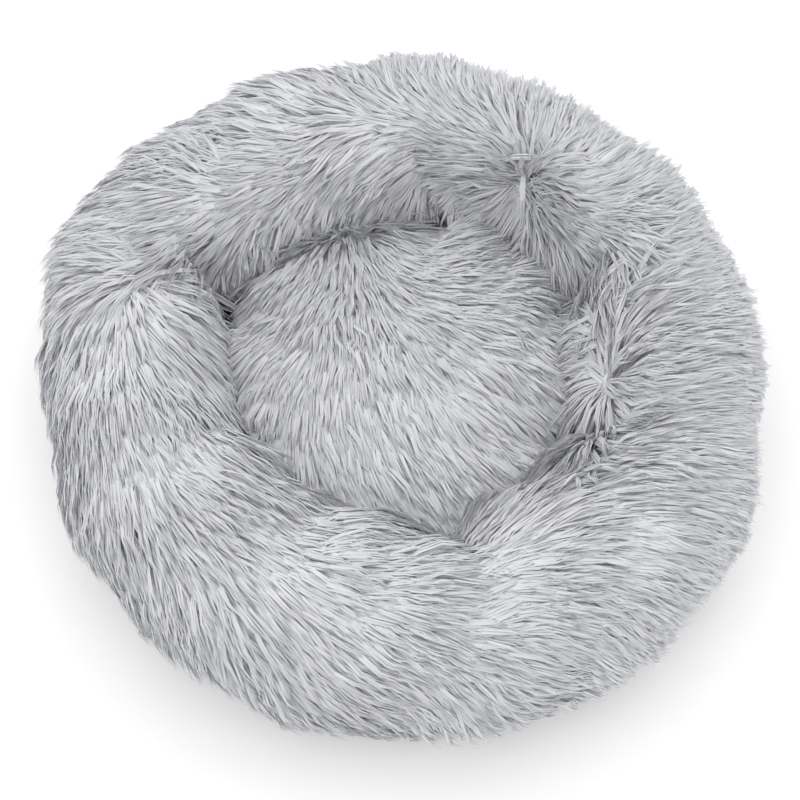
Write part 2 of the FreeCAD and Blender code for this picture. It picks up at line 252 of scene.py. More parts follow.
STRAND_STRAY = 0.0010
ROOM_AT_ROOT = 0.0022  # how far a lock's first bend stays above the cloth
ROOM_STEP = 0.0010  # and how much further each next one
FLOOR_ROOM = 0.0012  # a lock's line stays this far above the floor
FLOOR_CLEAR = 0.0004  # and its strands this far
TUCK_SHARE = 0.2  # of a lock's length: no more of it than this lies under the base's rim
PROUD_FREE = 0.004  # pile that stands further above the frame than this is pressed down
PROUD_PRESS = 0.6
COMB_NOISE = 0.10  # of single locks
COMB_WAVE = 0.22  # of neighbouring locks together
NOISE_WAVES = 14
PUSH_REACH = 0.05  # pile further than this from a skin is left where it is

# ---------------- small helpers


def smooth(value, low, high):
    share = np.clip((value - low) / (high - low), 0, 1)
    return share * share * (3 - 2 * share)


def turn_between(first, second):
    """Signed difference of two angles in radians, from -pi to pi."""
    return (first - second + pi) % (2 * pi) - pi


def unit(vectors):
    return vectors / np.maximum(np.linalg.norm(vectors, axis=-1, keepdims=True), 1e-9)


def profile(table, around, blur):
    """A listed value round the bed, smoothed over a few degrees either side."""
    spots = np.array(table)
    steps = np.radians(np.linspace(-blur, blur, BLUR_SAMPLES))
    samples = [np.interp(np.degrees(around + step) % 360, spots[:, 0], spots[:, 1], period=360)
               for step in steps]
    return np.mean(samples, axis=0)


def crease_radius(around):
    """Radius of the crease between the ring and the cushion, with its pinched corners."""
    return profile(CREASE_RADII, around, 5)


def pinch_depth(around, widen=1.0):
    total = np.zeros_like(around)
    for angle, depth, width in PINCHES:
        gap = turn_between(around, radians(angle)) / radians(width * widen)
        total = np.maximum(total, depth * np.exp(-gap ** 2))
    return total


def polar(radius, around, height):
    """Points at a radius and an angle round the bed."""
    parts = np.broadcast_arrays(radius * np.cos(around), radius * np.sin(around), height)
    return np.stack(parts, axis=-1)


def ring_place(points):
    """Angle round the bed, angle round the ring's section, and over, of points near the ring."""
    around = np.arctan2(points[:, 1], points[:, 0])
    radius = np.hypot(points[:, 0], points[:, 1])
    section = np.arctan2((points[:, 2] - CENTRE_HEIGHT) / HALF_HEIGHT, (radius - RING_RADIUS) / HALF_WIDTH)
    section = np.where(section < -pi / 2, section + 2 * pi, section)
    foot = -asin(FOOT_SLOPE)
    over = (pi - foot - section) / (pi - 2 * foot)
    return around, section, np.clip(over, 0, 1)


def mesh_object(name, points, faces):
    mesh = bpy.data.meshes.new(name)
    mesh.from_pydata([tuple(p) for p in points], [], faces)
    mesh.update()
    mesh.shade_smooth()
    obj = bpy.data.objects.new(name, mesh)
    bpy.context.scene.collection.objects.link(obj)
    return obj


def set_points(obj, points):
    obj.data.vertices.foreach_set("co", np.asarray(points, dtype=float).ravel())
    obj.data.update()


# ---------------- the two stuffed skins


def ring_skin():
    """The ring's backing cloth as a closed tube with pinches, folds and lumps."""
    inset = PILE_DEPTH - SKIN_GAP
    half_width, half_height = HALF_WIDTH - inset, HALF_HEIGHT - inset
    foot = BASE_TOP + SKIN_GAP
    foot_angle = -asin((CENTRE_HEIGHT - foot) / half_height)
    around = np.linspace(0, 2 * pi, RING_AROUND, endpoint=False)[:, None]
    section = np.linspace(foot_angle, pi - foot_angle, RING_OVER)[None, :]
    inner = np.clip(-np.cos(section), 0, 1)
    over = np.linspace(1, 0, RING_OVER)[None, :]
    crease_shift = (crease_radius(around) - RING_INNER) * smooth(inner, *CREASE_SPREAD)
    bulge = profile(OUTLINE, around, 12) * smooth(over, *OUTLINE_SPREAD)
    wide, middling, small = LUMP_HEIGHTS
    lumps = (wide * np.sin(5 * around + 1.1) * np.sin(section + 0.4)
             + middling * np.sin(9 * around + 2 * section + 0.3)
             + small * np.sin(14 * around - 3 * section + 2.0))
    dent = pinch_depth(around) * smooth(inner, *PINCH_SPREAD)
    for angle, lean, depth, width, reach in FOLDS:
        centre = radians(angle) + radians(lean) * over / 0.5
        groove = np.exp(-(turn_between(around, centre) / radians(width)) ** 2)
        dent = np.maximum(dent, depth * groove * smooth(over, reach, FOLD_END))
    lumps = lumps * smooth(over, 1.0, 0.8) * smooth(over, 0.0, 0.1)
    grow = lumps - dent
    radius = RING_RADIUS + (half_width + grow) * np.cos(section) + crease_shift + bulge
    height = CENTRE_HEIGHT + (half_height + grow) * np.sin(section)
    under = np.linspace(0, 1, RING_UNDER + 2)[1:-1][None, :]
    under_radius = radius[:, -1:] * (1 - under) + radius[:, :1] * under
    radius = np.hstack([radius, under_radius])
    height = np.hstack([np.maximum(height, foot), np.full_like(under_radius, foot)])
    points = polar(radius, around, height)
    count = radius.shape[1]
    faces = []
    for i in range(RING_AROUND):
        j = (i + 1) % RING_AROUND
        for k in range(count):
            m = (k + 1) % count
            faces.append((i * count + k, j * count + k, j * count + m, i * count + m))
    obj = mesh_object("ring_skin", points.reshape(-1, 3), faces)
    held = np.zeros((RING_AROUND, count))
    held[:, :RING_OVER] = np.maximum(smooth(over, 0.90, 0.96), smooth(over, 0.12, 0.05))
    held[:, RING_OVER:] = 1
    pinned = smooth(pinch_depth(around), 0.003, 0.009) * smooth(over, 0.34, 0.2)
    held[:, :RING_OVER] = np.maximum(held[:, :RING_OVER], pinned)
    return obj, held.ravel()


def cushion_skin():
    """The cushion's backing cloth: a crowned pillow whose edge follows the crease."""
    foot = ZIP_TOP + SKIN_GAP
    crown = CUSHION_TOP - PILE_DEPTH
    around = np.linspace(0, 2 * pi, CUSHION_AROUND, endpoint=False)
    edge = crease_radius(around) - CUSHION_SIDE_GAP
    rows, heights = [], []
    for share in np.linspace(0, 1, CUSHION_RINGS)[1:]:
        dome = CREASE_SKIN_HEIGHT + (crown - CREASE_SKIN_HEIGHT) * (1 - share ** CUSHION_FLATNESS)
        dimple = CUSHION_PINCH * pinch_depth(around, CUSHION_PINCH_WIDEN) * smooth(share, 0.6, 1.0)
        rows.append(edge * share)
        heights.append(dome - dimple)
    for share in (0.3, 0.6, 0.9, 1.0):
        rows.append(edge - CUSHION_TUCK * share)
        heights.append(heights[CUSHION_RINGS - 2] * (1 - share) + foot * share)
    for share in np.linspace(1, 0, UNDER_RINGS)[1:-1]:
        rows.append((edge - CUSHION_TUCK) * share)
        heights.append(np.full_like(edge, foot))
    rows, heights = np.array(rows), np.array(heights)
    rings = polar(rows, around, heights).reshape(-1, 3)
    points = np.vstack([[(0, 0, crown)], rings, [(0, 0, foot)]])
    faces = []
    last = len(points) - 1
    for i in range(CUSHION_AROUND):
        j = (i + 1) % CUSHION_AROUND
        faces.append((0, 1 + i, 1 + j))
        for k in range(len(rows) - 1):
            a, b = 1 + k * CUSHION_AROUND, 1 + (k + 1) * CUSHION_AROUND
            faces.append((a + i, b + i, b + j, a + j))
        a = 1 + (len(rows) - 1) * CUSHION_AROUND
        faces.append((a + i, last, a + j))
    obj = mesh_object("cushion_backing", points, faces)
    radius = np.hypot(points[:, 0], points[:, 1])
    local_edge = crease_radius(np.arctan2(points[:, 1], points[:, 0]))
    held = np.where(points[:, 2] < CREASE_SKIN_HEIGHT - 0.004, 1.0, smooth(radius / local_edge, 0.93, 0.99))
    return obj, held


def inflate(obj, held, cap):
    """Lets the stuffing swell a skin by cloth simulation, no point moving further than the cap."""
    before = mesh_values(obj)
    group = obj.vertex_groups.new(name="held")
    for index, weight in enumerate(held):
        if weight > 0.02:
            group.add([index], float(weight), "REPLACE")
    cloth = obj.modifiers.new("stuffing", "CLOTH")
    cloth.settings.quality = 6
    cloth.settings.mass = 0.3
    cloth.settings.tension_stiffness = 18
    cloth.settings.compression_stiffness = 12
    cloth.settings.shear_stiffness = 8
    cloth.settings.bending_stiffness = 0.6
    cloth.settings.use_pressure = True
    cloth.settings.uniform_pressure_force = STUFFING_PRESSURE
    cloth.settings.vertex_group_mass = "held"
    cloth.settings.effector_weights.gravity = 0
    cloth.point_cache.frame_end = SWELL_FRAMES
    for number in range(1, SWELL_FRAMES + 1):
        bpy.context.scene.frame_set(number)
    move = mesh_values(obj.evaluated_get(bpy.context.evaluated_depsgraph_get())) - before
    size = np.linalg.norm(move, axis=1, keepdims=True)
    move = move * np.minimum(1, cap / np.maximum(size, 1e-9))
    obj.modifiers.remove(cloth)
    obj.vertex_groups.clear()
    bpy.context.scene.frame_set(1)
    set_points(obj, before + move)


# ---------------- fur


def scatter(obj, spacing, keep, random):
    """Roots spread evenly over the part of a skin that keep() accepts, with their normals."""
    points, normals = mesh_values(obj), mesh_values(obj, "normal")
    obj.data.calc_loop_triangles()
    corners = np.zeros(len(obj.data.loop_triangles) * 3, dtype=int)
    obj.data.loop_triangles.foreach_get("vertices", corners)
    corners = corners.reshape(-1, 3)
    a, b, c = points[corners[:, 0]], points[corners[:, 1]], points[corners[:, 2]]
    area = 0.5 * np.linalg.norm(np.cross(b - a, c - a), axis=1)
    count = int(area.sum() / spacing ** 2 * DRAWS_PER_LOCK)
    chosen = random.choice(len(corners), size=count, p=area / area.sum())
    u, v = random.random(count), random.random(count)
    flip = u + v > 1
    u, v = np.where(flip, 1 - u, u), np.where(flip, 1 - v, v)
    shares = np.stack([1 - u - v, u, v], axis=1)[:, :, None]
    roots = (points[corners[chosen]] * shares).sum(axis=1)
    upright = unit((normals[corners[chosen]] * shares).sum(axis=1))
    cells = np.floor(roots / spacing).astype(int)
    _, first = np.unique(cells, axis=0, return_index=True)
    first.sort()
    roots, upright = roots[first], upright[first]
    kept = keep(roots, upright)
    return roots[kept], upright[kept]


def slow_noise(points, random, span=0.05):
    """Smooth random vectors that neighbouring points share."""
    total = np.zeros_like(points)
    for _ in range(NOISE_WAVES):
        wave = random.normal(size=3) / span
        total += np.sin(points @ wave + random.random() * 2 * pi)[:, None] * random.normal(size=3)
    return total / sqrt(NOISE_WAVES / 2)


def row_comb(row, around):
    spots = np.array(row)
    combs = np.radians(spots[:, 1])
    return np.stack([np.interp(np.degrees(around) % 360, spots[:, 0], part, period=360)
                     for part in (np.cos(combs), np.sin(combs))], axis=1)


def tousle(comb, roots, upright, random):
    spots = np.array(TOUSLED)
    gaps = np.linalg.norm(roots[:, None, :2] - spots[None, :, :2], axis=2)
    extra = np.exp(-(gaps / spots[None, :, 2]) ** 2).max(axis=1)[:, None]
    comb = comb + COMB_WAVE * slow_noise(roots, random) + COMB_NOISE * random.normal(size=comb.shape)
    clumps = TOUSLE * slow_noise(roots, random, span=TOUSLE_SPAN)
    comb = comb + extra * (clumps + TOUSLE_NOISE * random.normal(size=comb.shape))
    comb -= (comb * upright).sum(axis=1, keepdims=True) * upright
    return unit(comb)


def ring_comb(roots, upright, random):
    """Which way the pile is combed on the ring: unit vectors along the skin."""
    around, section, over = ring_place(roots)
    out = polar(1.0, around, 0.0)
    round_bed = np.stack([-out[:, 1], out[:, 0], out[:, 2]], axis=1)
    up = np.array([[0.0, 0.0, 1.0]])
    rise, fall = HALF_WIDTH * np.sin(section), HALF_HEIGHT * np.cos(section)
    over_ring = unit(rise[:, None] * out - fall[:, None] * up)
    rows = np.stack([row_comb(row, around) for _, row in COMB_ROWS])
    places = np.array([place for place, _ in COMB_ROWS])
    step = np.clip(np.searchsorted(places, over) - 1, 0, len(places) - 2)
    share = np.clip((over - places[step]) / (places[step + 1] - places[step]), 0, 1)[:, None]
    index = np.arange(len(roots))
    total = rows[step, index] * (1 - share) + rows[step + 1, index] * share
    return tousle(total[:, :1] * over_ring + total[:, 1:] * round_bed, roots, upright, random)


def cushion_comb(roots, upright, random):
    total = np.zeros_like(roots)
    weights = np.zeros((len(roots), 1))
    for x, y, heading in CUSHION_STROKES:
        gap = (roots[:, 0] - x) ** 2 + (roots[:, 1] - y) ** 2
        weight = np.exp(-gap / CUSHION_REACH ** 2)[:, None] + 1e-6
        total += weight * np.array([[cos(radians(heading)), sin(radians(heading)), 0]])
        weights += weight
    return tousle(total / weights, roots, upright, random)


def push_out(points, tree, room):
    """Moves points that lie in or too near a skin out to the given room from it."""
    for index, spot in enumerate(points):
        near, normal, _, _ = tree.find_nearest(spot, PUSH_REACH)
        if near is None:
            continue
        height = (Vector(spot) - near).dot(normal)
        if height < room:
            points[index] = near + normal * room
    return points


def lock_lines(roots, upright, comb, length, lift, trees, random):
    """The middle line of each lock, as the points at RING_STEPS."""
    lines = [roots]
    spot = roots
    shared, own = SWAY_SHARES
    sway = shared * slow_noise(roots, random, span=SWAY_SPAN) + own * random.normal(size=roots.shape)
    sway = LOCK_SWAY * sway
    down = np.array([[0.0, 0.0, -1.0]])
    for k in range(len(LIFT)):
        angle = (lift * LIFT[k])[:, None]
        way = np.cos(angle) * comb + np.sin(angle) * upright + DROOP[k] * down + sway * SWAY_STEPS[k]
        spot = spot + unit(way) * (length * (RING_STEPS[k + 1] - RING_STEPS[k]))[:, None]
        room = ROOM_AT_ROOT + ROOM_STEP * k
        for tree in trees:
            spot = push_out(spot.copy(), tree, room)
        proud = np.maximum(spot[:, 2] - CREST_HEIGHT - PROUD_FREE, 0)
        spot[:, 2] = np.maximum(spot[:, 2] - PROUD_PRESS * proud, FLOOR_ROOM)
        radius = np.hypot(spot[:, 0], spot[:, 1])
        tucked = np.where(spot[:, 2] < BASE_TOP + FLOOR_ROOM, (BASE_RADIUS - TUCK_SHARE * length) / radius, 1)
        spot[:, :2] *= np.maximum(tucked, 1)[:, None]
        lines.append(spot)
    return np.stack(lines, axis=1)


def strand_shapes(lines, upright, tone, random):
    """Closed three-sided strands round each lock's line: STRAND_POINTS points and a tone for each."""
    lock = np.repeat(np.arange(len(lines)), STRANDS_PER_LOCK)
    line, normal = lines[lock], upright[lock]
    count = len(lock)
    side = unit(np.cross(unit(line[:, 1] - line[:, 0]), normal))
    fore = np.cross(normal, side)
    turn = random.random(count) * 2 * pi
    far = np.sqrt(random.random(count)) * LOCK_RADIUS
    offset = (np.cos(turn) * far)[:, None] * side + (np.sin(turn) * far)[:, None] * fore
    stray = STRAND_STRAY * random.normal(size=(count, 3))
    reach = np.clip(1 + TIP_NOISE * random.normal(size=count), 0.6, 1.4)
    centre = line + offset[:, None, :] * GATHER[None, :, None] + stray[:, None, :] * WANDER[None, :, None]
    centre[:, -1] = centre[:, -2] + (centre[:, -1] - centre[:, -2]) * reach[:, None]
    thick = STRAND_RADIUS * (THINNEST + THICKER * random.random(count))
    roll = STRAND_ROLL * random.normal(size=count)
    across = RIBBON[:, :1] * np.cos(roll) - RIBBON[:, 1:] * np.sin(roll)
    above = RIBBON[:, :1] * np.sin(roll) + RIBBON[:, 1:] * np.cos(roll)
    shape = np.zeros((count, STRAND_POINTS, 3), dtype=np.float32)
    for k in range(3):
        along = unit(centre[:, k + 1] - centre[:, max(k - 1, 0)])
        aside = unit(np.cross(along, normal + 1e-4))
        outward = np.cross(aside, along)
        for corner in range(3):
            reach_out = across[corner][:, None] * aside + above[corner][:, None] * outward
            shape[:, 3 * k + corner] = centre[:, k] + reach_out * (thick * STEP_WIDTHS[k])[:, None]
        lift = np.maximum(FLOOR_CLEAR - shape[:, 3 * k:3 * k + 3, 2].min(axis=1), 0)
        shape[:, 3 * k:3 * k + 3, 2] += lift[:, None]
    shape[:, 9] = centre[:, 3]
    shape[:, 9, 2] = np.maximum(shape[:, 9, 2], FLOOR_CLEAR)
    shade = np.clip(tone[lock] + STRAND_TONE_NOISE * random.normal(size=count), 0, 1)
    return shape, shade


SIDE_QUADS = np.array([[3 * r + i, 3 * r + (i + 1) % 3, 3 * r + 3 + (i + 1) % 3, 3 * r + 3 + i]
                       for r in range(2) for i in range(3)])
TIP_TRIANGLES = np.array([[6 + i, 6 + (i + 1) % 3, 9] for i in range(3)] + [[0, 2, 1]])
TONE_WIDTH = 1 / 24  # of the map's width that one strand takes


def strand_mesh(name, shape, shade):
    """One mesh of many strands. Its map holds each strand's tone across and its length up."""
    count = len(shape)
    start = (np.arange(count) * STRAND_POINTS)[:, None, None]
    quads = (SIDE_QUADS[None] + start).reshape(-1, 4)
    triangles = (TIP_TRIANGLES[None] + start).reshape(-1, 3)
    loops = np.concatenate([quads.ravel(), triangles.ravel()])
    sizes = np.concatenate([np.full(len(quads), 4), np.full(len(triangles), 3)])
    starts = np.concatenate([[0], np.cumsum(sizes)[:-1]])
    mesh = bpy.data.meshes.new(name)
    mesh.vertices.add(count * STRAND_POINTS)
    mesh.vertices.foreach_set("co", shape.ravel())
    mesh.loops.add(len(loops))
    mesh.loops.foreach_set("vertex_index", loops.astype(np.int32))
    mesh.polygons.add(len(sizes))
    mesh.polygons.foreach_set("loop_start", starts.astype(np.int32))
    mesh.polygons.foreach_set("use_smooth", np.zeros(len(sizes), dtype=bool))
    low = (1 - TONE_WIDTH) * shade
    first, second, third, tip = RING_STEPS
    quad_v = np.array([[first, first, second, second]] * 3 + [[second, second, third, third]] * 3)
    quad_u = np.tile([0.0, 1.0, 1.0, 0.0], (6, 1))
    tip_v = np.array([[third, third, tip]] * 3 + [[0.0, 0.0, 0.02]])
    tip_u = np.array([[0.0, 1.0, 0.5]] * 4)
    u = np.concatenate([(low[:, None, None] + TONE_WIDTH * quad_u[None]).ravel(),
                        (low[:, None, None] + TONE_WIDTH * tip_u[None]).ravel()])
    v = np.concatenate([np.tile(quad_v.ravel(), count), np.tile(tip_v.ravel(), count)])
    layer = mesh.uv_layers.new(name="OFBake")
    layer.data.foreach_set("uv", np.stack([u, v], axis=1).astype(np.float32).ravel())
    mesh.update()
    obj = bpy.data.objects.new(name, mesh)
    bpy.context.scene.collection.objects.link(obj)
    return obj


# ---------------- cloth shells, panels, stitches


def inner_copy(obj, name, depth):
    """A closed copy of a skin that lies that deep under it."""
    points, normals = mesh_values(obj), mesh_values(obj, "normal")
    return mesh_object(name, points - depth * normals, [tuple(face.vertices) for face in obj.data.polygons])


def cover_half(obj, name, is_back):
    """The part of the ring's skin on one side of the cover's two seams, as cloth of real thickness."""
    points = mesh_values(obj)
    faces = []
    for face in obj.data.polygons:
        x, y = face.center[0], face.center[1]
        around = np.arctan2(y, x)
        if (SEAMS[0] < around < SEAMS[1]) == is_back:
            faces.append(tuple(face.vertices))
    used = sorted({index for face in faces for index in face})
    place = {index: number for number, index in enumerate(used)}
    half = mesh_object(name, points[used], [tuple(place[index] for index in face) for face in faces])
    shell = half.modifiers.new("cloth", "SOLIDIFY")
    shell.thickness = BACKING_THICKNESS
    shell.offset = -1
    return half


def tubes(name, lines, radius, swell, reference=(0.0, 0.0, 1.0), sides=6):
    """One mesh of closed round tubes: lines holds their points, swell the share of the radius at each."""
    along = unit(np.gradient(lines, axis=1))
    aside = unit(np.cross(along, np.array(reference)))
    outward = np.cross(along, aside)
    turn = np.linspace(0, 2 * pi, sides, endpoint=False)[:, None]
    reach = np.cos(turn) * aside[:, :, None] + np.sin(turn) * outward[:, :, None]
    points = lines[:, :, None] + radius * np.asarray(swell)[None, :, None, None] * reach
    count, steps = lines.shape[:2]
    faces = []
    for i in range(count):
        start = i * steps * sides
        for k in range(steps - 1):
            a, b = start + k * sides, start + (k + 1) * sides
            for m in range(sides):
                n = (m + 1) % sides
                faces.append((a + m, a + n, b + n, b + m))
        last = start + (steps - 1) * sides
        faces.append(tuple(start + m for m in reversed(range(sides))))
        faces.append(tuple(last + m for m in range(sides)))
    return mesh_object(name, points.reshape(-1, 3), faces)


def stitch_lines(path, closed, dip):
    """Short stitches laid end to end along a path, each with its ends drawn in by dip."""
    path = np.asarray(path, dtype=float)
    if closed:
        path = np.vstack([path, path[:1]])
    far = np.concatenate([[0], np.cumsum(np.linalg.norm(np.diff(path, axis=0), axis=1))])
    count = max(1, int(far[-1] / STITCH_PITCH))
    pitch = far[-1] / count
    shares = np.array(STITCH_SHARES)
    spots = (np.arange(count)[:, None] + STITCH_START + STITCH_COVER * shares[None, :]) * pitch
    lines = np.stack([np.interp(spots, far, path[:, axis]) for axis in range(3)], axis=-1)
    return lines + np.array(STITCH_DIP)[None, :, None] * np.asarray(dip)


def circle_path(radius, height, count=360):
    return polar(radius, np.linspace(0, 2 * pi, count, endpoint=False), height)


def thread_radius(name):
    low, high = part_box(name)
    return 0.5 * (high.z - low.z)


def middle_height(name):
    low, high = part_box(name)
    return 0.5 * (high.z + low.z)


def cloth_plate(name, top_rows, thickness):
    """A thin closed cloth from a grid of points on its upper face, rows by columns."""
    rows, columns = top_rows.shape[:2]
    under = top_rows.copy()
    under[:, :, 2] -= thickness
    points = np.concatenate([top_rows.reshape(-1, 3), under.reshape(-1, 3)])
    below = rows * columns
    faces = []
    for r in range(rows - 1):
        for c in range(columns - 1):
            a, b = r * columns + c, (r + 1) * columns + c
            faces.append((a, b, b + 1, a + 1))
            faces.append((below + a, below + a + 1, below + b + 1, below + b))
    rim = [r * columns for r in range(rows)] + [(rows - 1) * columns + c for c in range(1, columns)]
    rim += [r * columns + columns - 1 for r in range(rows - 2, -1, -1)]
    rim += list(range(columns - 2, 0, -1))
    for first, second in zip(rim, rim[1:] + rim[:1]):
        faces.append((second, first, below + first, below + second))
    obj = mesh_object(name, points, faces)
    obj.data.shade_flat()
    return obj


def wrinkle(x, y, size):
    """Gentle waves in a cloth that lies flat, each from its numbers of waves along X and Y."""
    total = 0
    for along_x, along_y, start, share in WRINKLE_WAVES:
        total = total + share * np.sin(along_x * x + along_y * y + start)
    return size * total / 2


def strip_grid(low, high, steps, waves):
    """Grid points over a box's top, with gentle waves that stay near it."""
    x = np.linspace(low.x, high.x, steps[0])[:, None]
    y = np.linspace(low.y, high.y, steps[1])[None, :]
    z = high.z + wrinkle(x, y, waves)
    x, y = np.broadcast_arrays(x, y)
    return np.stack([x, y, z], axis=-1)


def panel_grid(name):
    """Grid points over one half of the base cloth, with the straight slot cut for the zip."""
    low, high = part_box(name)
    side = 1 if high.y > -low.y else -1
    slot_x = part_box("zip_coil_front")[1].x + ZIP_SLOT_END
    reach = np.cos(np.linspace(0, pi, PANEL_STEPS[0]))[::-1] * (BASE_RADIUS - PANEL_END)
    away = reach[np.abs(np.abs(reach) - slot_x) > SLOT_CORNER_ROOM]
    corners = [-slot_x - CLOTH_STEP, -slot_x, slot_x, slot_x + CLOTH_STEP]
    x = np.sort(np.concatenate([away, corners]))
    inner = np.where(np.abs(x) <= slot_x, ZIP_SLOT_HALF_WIDTH, min(abs(low.y), abs(high.y)))
    outer = np.maximum(np.sqrt(np.maximum(BASE_RADIUS ** 2 - x ** 2, 0)), inner + CLOTH_STEP)
    share = np.linspace(0, 1, PANEL_STEPS[1])[None, :]
    y = side * (inner[:, None] * (1 - share) + outer[:, None] * share)
    x = np.broadcast_to(x[:, None], y.shape)
    z = high.z + wrinkle(x, y, BASE_WAVES) * smooth(BASE_RADIUS - np.hypot(x, y), 0, FLAT_RIM)
    grid = np.stack([x, y, z], axis=-1)
    return grid if side < 0 else grid[:, ::-1]


def dome_dots(name):
    """Small cast domes under the base cloth, one for each dot of the frame."""
    points = node_points("grip_dots")
    columns = np.round(points[:, 0] / DOT_PITCH)
    rows = np.round(points[:, 1] / DOT_PITCH - 0.5)
    centres = np.unique(np.stack([columns, rows], axis=1), axis=0) * DOT_PITCH + (0, DOT_PITCH / 2)
    low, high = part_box("grip_dots")
    swell, depths = np.array(DOT_PROFILE).T
    levels = high.z + (low.z - high.z) * depths
    lines = [[(x, y, level) for level in levels] for x, y in centres]
    return tubes(name, np.array(lines), DOT_DIAMETER / 2, swell, reference=(1.0, 0.0, 0.0), sides=DOT_SIDES)


def coil(name, node):
    """A zip's nylon coil as one wound wire."""
    low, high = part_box(node)
    turns = int((high.x - low.x) / COIL_PITCH)
    place = np.linspace(0, turns, turns * COIL_STEPS + 1)
    wind = 2 * pi * place * (1 if low.y > 0 else -1)
    half_y, half_z = 0.5 * (high.y - low.y) - COIL_WIRE, 0.5 * (high.z - low.z) - COIL_WIRE
    x = low.x + COIL_WIRE + place / turns * (high.x - low.x - 2 * COIL_WIRE)
    y = 0.5 * (low.y + high.y) + half_y * np.cos(wind)
    z = 0.5 * (low.z + high.z) + half_z * np.sin(wind)
    line = np.stack([x, y, z], axis=1)
    return tubes(name, line[None], COIL_WIRE, np.ones(len(line)), reference=(1.0, 0.0, 0.0), sides=5)


def tack_lines(tree):
    """Bar tacks on the ring's inner wall, where the pinches are sewn down."""
    points = node_points("pinch_tacks")
    around = np.sort(np.unique(np.round(np.arctan2(points[:, 1], points[:, 0]), 3)))
    groups = np.split(around, np.where(np.diff(around) > 0.2)[0] + 1)
    height = 0.5 * (CREASE_SKIN_HEIGHT + BASE_TOP)
    lines = []
    for group in groups:
        angle = group.mean()
        out = Vector((cos(angle), sin(angle), 0))
        hit, _, _, _ = tree.ray_cast(Vector((0, 0, height)), out)
        aside = Vector((-sin(angle), cos(angle), 0))
        for step in np.linspace(-1, 1, TACK_STITCHES):
            middle = hit - out * TACK_LIFT + Vector((0, 0, 1)) * (step * TACK_HEIGHT / 2)
            lines.append([tuple(middle + aside * (share - 0.5) * TACK_WIDTH) for share in STITCH_SHARES])
    return np.array(lines)


# ---------------- materials


def new_material(name, roughness, color=(0.5, 0.5, 0.5)):
    material = bpy.data.materials.new(name)
    material.use_nodes = True
    tree = material.node_tree
    shader = tree.nodes["Principled BSDF"]
    shader.inputs["Roughness"].default_value = roughness
    shader.inputs["Base Color"].default_value = (*color, 1)
    return material, tree, shader


def feed(tree, socket, value):
    """Links another node's output to a socket, or sets the socket to a number or a colour."""
    if isinstance(value, bpy.types.NodeSocket):
        tree.links.new(value, socket)
    elif isinstance(value, tuple):
        socket.default_value = (*value, 1)
    else:
        socket.default_value = value


def mix_color(tree, factor, first, second, blend="MIX"):
    node = tree.nodes.new("ShaderNodeMix")
    node.data_type = "RGBA"
    node.blend_type = blend
    for place, value in ((0, factor), (6, first), (7, second)):
        feed(tree, node.inputs[place], value)
    return node.outputs[2]


def paint(tree, shader, factor, dark, light):
    feed(tree, shader.inputs["Base Color"], mix_color(tree, factor, dark, light))


def color_ramp(tree, factor, stops):
    node = tree.nodes.new("ShaderNodeValToRGB")
    ramp = node.color_ramp
    while len(ramp.elements) < len(stops):
        ramp.elements.new(0.5)
    for element, (place, color) in zip(ramp.elements, stops):
        element.position = place
        element.color = (*color, 1)
    tree.links.new(factor, node.inputs[0])
    return node.outputs[0]


def fur_material():
    material, tree, shader = new_material("fur", 0.85)
    shader.inputs["Specular IOR Level"].default_value = 0.12
    uv = tree.nodes.new("ShaderNodeUVMap")
    uv.uv_map = "OFBake"
    split = tree.nodes.new("ShaderNodeSeparateXYZ")
    tree.links.new(uv.outputs[0], split.inputs[0])
    # Each strand is painted lighter at its root than at its tip. This is painted light that offsets the shade
    # deep in the pile.
    along = color_ramp(tree, split.outputs[1], (
        (0.0, (0.73, 0.735, 0.755)), (0.45, (0.66, 0.665, 0.685)), (1.0, (0.57, 0.575, 0.595))))
    tone = color_ramp(tree, split.outputs[0], (
        (0.0, (0.93, 0.93, 0.935)), (1.0, (1.0, 1.0, 1.0))))
    feed(tree, shader.inputs["Base Color"], mix_color(tree, 1.0, along, tone, "MULTIPLY"))
    return material


def backing_material():
    material, tree, shader = new_material("fur_backing", 0.9)
    # The backing is painted lighter than the pile. This is painted light that lifts the shade in the gaps
    # between the strands; the noise gives it a random tone.
    paint(tree, shader, noise_texture(tree, 260, 2.0), (0.84, 0.845, 0.86), (0.92, 0.925, 0.94))
    return material


def object_coords(tree):
    return tree.nodes.new("ShaderNodeTexCoord").outputs["Object"]


def noise_texture(tree, scale, detail=3.0):
    noise = tree.nodes.new("ShaderNodeTexNoise")
    noise.inputs["Scale"].default_value = scale
    noise.inputs["Detail"].default_value = detail
    tree.links.new(object_coords(tree), noise.inputs["Vector"])
    return noise.outputs[0]


def wave_texture(tree, direction, period):
    wave = tree.nodes.new("ShaderNodeTexWave")
    wave.bands_direction = direction
    wave.inputs["Scale"].default_value = 2 * pi / (20 * period)
    tree.links.new(object_coords(tree), wave.inputs["Vector"])
    return wave.outputs["Fac"]


def math_node(tree, kind, first, second=0.5):
    node = tree.nodes.new("ShaderNodeMath")
    node.operation = kind
    feed(tree, node.inputs[0], first)
    feed(tree, node.inputs[1], second)
    return node.outputs[0]


def bump(tree, shader, height, depth):
    node = tree.nodes.new("ShaderNodeBump")
    node.inputs["Distance"].default_value = depth
    node.inputs["Strength"].default_value = 0.8
    tree.links.new(height, node.inputs["Height"])
    tree.links.new(node.outputs[0], shader.inputs["Normal"])


def weave_height(tree, period):
    """Plain weave: warp and weft threads that pass over each other in turn."""
    checker = tree.nodes.new("ShaderNodeTexChecker")
    checker.inputs["Scale"].default_value = 1 / period
    tree.links.new(object_coords(tree), checker.inputs["Vector"])
    warp, weft = wave_texture(tree, "X", period), wave_texture(tree, "Y", period)
    over = math_node(tree, "MULTIPLY", checker.outputs["Fac"], warp)
    under = math_node(tree, "MULTIPLY", math_node(tree, "SUBTRACT", 1.0, checker.outputs["Fac"]), weft)
    return math_node(tree, "ADD", over, under)


